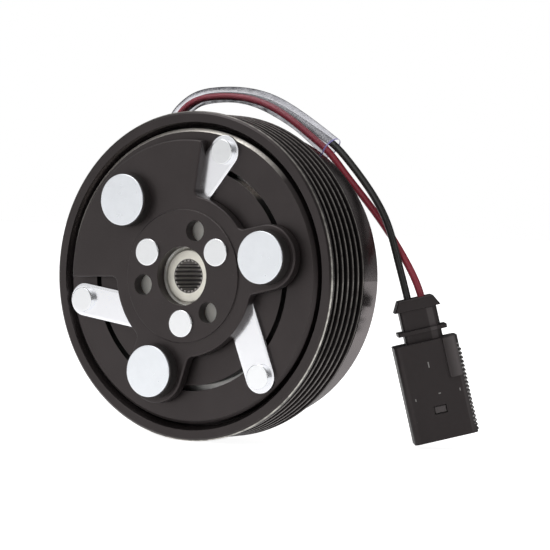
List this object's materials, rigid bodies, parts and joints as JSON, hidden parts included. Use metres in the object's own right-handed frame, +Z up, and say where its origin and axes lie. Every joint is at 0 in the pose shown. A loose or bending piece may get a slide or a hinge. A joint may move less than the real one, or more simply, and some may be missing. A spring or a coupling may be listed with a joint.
{
  "type": "electromagnetic clutch",
  "caption": "Grooved belt pulley on a ball bearing, with a field coil behind it and a spring-mounted armature and splined hub in front, and a two-pin lead connector.",
  "frame": {"origin": "on the clutch axis at the middle of the bearing", "axes": "+Y along the clutch axis towards the compressor, so the hub side faces -Y; +Z up; +X to the right seen from the hub side"},
  "size_m": [0.1517, 0.0743, 0.1315],
  "materials": {
    "shell_steel": "black coated pressed steel",
    "bobbin_nylon": "moulded black nylon",
    "copper_wire": "enamelled copper wire",
    "potting_resin": "cast dark resin",
    "zinc_plate": "zinc plated sheet steel",
    "bearing_steel": "ground bearing steel",
    "black_rubber": "moulded black rubber",
    "clear_sleeve": "clear flexible tube",
    "black_insulation": "smooth wire insulation",
    "red_insulation": "smooth wire insulation",
    "black_coated_rim": "satin black coat",
    "black_coated_rotor": "satin black coat",
    "seal_rubber": "moulded seal rubber",
    "spring_steel": "blackened spring steel",
    "ball_steel": "polished",
    "cage_nylon": "moulded natural nylon",
    "hub_steel": "machined steel with a light oil film",
    "black_coated_plate": "satin black coat",
    "rivet_zinc": "bright zinc plate",
    "leaf_zinc": "bright zinc plated spring steel",
    "stop_rubber": "moulded black rubber",
    "cap_zinc": "bright zinc plate",
    "black_coated_armature": "satin black coat",
    "connector_nylon": "moulded black nylon",
    "silicone_seal": "moulded silicone",
    "tin_terminal": "tin plated copper alloy"
  },
  "bodies": {
    "root": {"coil_shell": "shell_steel", "coil_bobbin": "bobbin_nylon", "coil_winding": "copper_wire", "coil_potting": "potting_resin", "coil_mount_plate": "zinc_plate", "locating_pin": "bearing_steel", "lead_grommet": "black_rubber", "lead_sleeve": "clear_sleeve", "black_lead": "black_insulation", "red_lead": "red_insulation", "bearing_inner_ring": "bearing_steel"},
    "pulley": {"pulley_rim": "black_coated_rim", "rotor": "black_coated_rotor", "bearing_outer_ring": "bearing_steel", "bearing_front_seal": "seal_rubber", "bearing_rear_seal": "seal_rubber", "bearing_retaining_ring": "spring_steel"},
    "ball_complement": {"front_ball_row": "ball_steel", "rear_ball_row": "ball_steel", "front_ball_cage": "cage_nylon", "rear_ball_cage": "cage_nylon"},
    "hub": {"hub": "hub_steel", "hub_plate": "black_coated_plate", "inner_rivets": "rivet_zinc", "leaf_spring_1": "leaf_zinc", "leaf_spring_2": "leaf_zinc", "leaf_spring_3": "leaf_zinc", "stop_bumpers": "stop_rubber", "stop_caps": "cap_zinc"},
    "armature": {"armature_plate": "black_coated_armature", "armature_rivets": "rivet_zinc"},
    "connector": {"connector_housing": "connector_nylon", "connector_rear_cap": "connector_nylon", "connector_lock_bar": "connector_nylon", "wire_seals": "silicone_seal", "connector_terminals": "tin_terminal"}
  },
  "joints": [
    {"name": "pulley_spin", "type": "hinge", "parent": "root", "child": "pulley", "pos_m": [0, 0, 0], "axis": [0, 1, 0], "continuous": true},
    {"name": "ball_spin", "type": "hinge", "parent": "root", "child": "ball_complement", "pos_m": [0, 0, 0], "axis": [0, 1, 0], "continuous": true},
    {"name": "hub_spin", "type": "hinge", "parent": "root", "child": "hub", "pos_m": [0, 0, 0], "axis": [0, 1, 0], "continuous": true},
    {"name": "armature_pull", "type": "slide", "parent": "hub", "child": "armature", "axis": [0, 1, 0], "range_m": [0, 0.00045], "deforming": ["leaf_spring_1", "leaf_spring_2", "leaf_spring_3"]},
    {"name": "lead_flex", "type": "hinge", "parent": "root", "child": "connector", "pos_m": [0.03, 0.0265, 0.0493], "axis": [0, -1, 0], "range_deg": [0, 30], "deforming": ["black_lead", "red_lead"]}
  ],
  "couplings": [
    {"joint": "ball_spin", "follows": "pulley_spin", "ratio": 0.5775}
  ]
}
